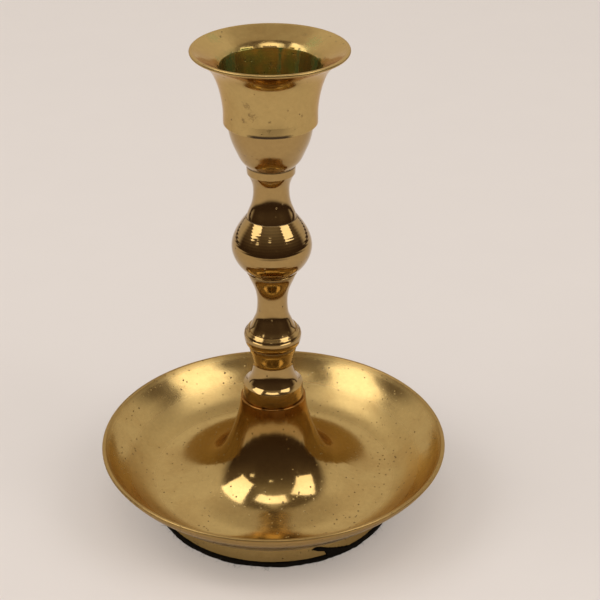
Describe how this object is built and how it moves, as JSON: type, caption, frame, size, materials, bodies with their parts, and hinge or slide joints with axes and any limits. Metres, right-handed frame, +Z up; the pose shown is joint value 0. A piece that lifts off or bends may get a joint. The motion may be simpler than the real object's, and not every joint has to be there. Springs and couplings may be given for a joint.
{
  "type": "candlestick with drip pan",
  "caption": "Turned brass candlestick: flared candle nozzle on a knopped baluster stem, standing in a wide saucer drip pan with a felted foot ring.",
  "frame": {"origin": "middle of the felt's resting face, on the table", "axes": "+Z up along the stem, which is the turning axis; +X and +Y are free"},
  "size_m": [0.1006, 0.1006, 0.1404],
  "materials": {
    "brass": "polished, aged",
    "steel": "plain zinc",
    "felt": "dark wool felt"
  },
  "bodies": {
    "root": {"ball_knop": "brass", "base_felt": "felt", "candle_nozzle": "brass", "drip_pan": "brass", "hex_nut": "steel", "lock_washer": "steel", "nozzle_bowl": "brass", "nozzle_screw": "brass", "plain_washer": "steel", "ring_knop": "brass", "stem_foot": "brass", "tie_rod": "steel", "upper_neck": "brass"}
  },
  "joints": []
}
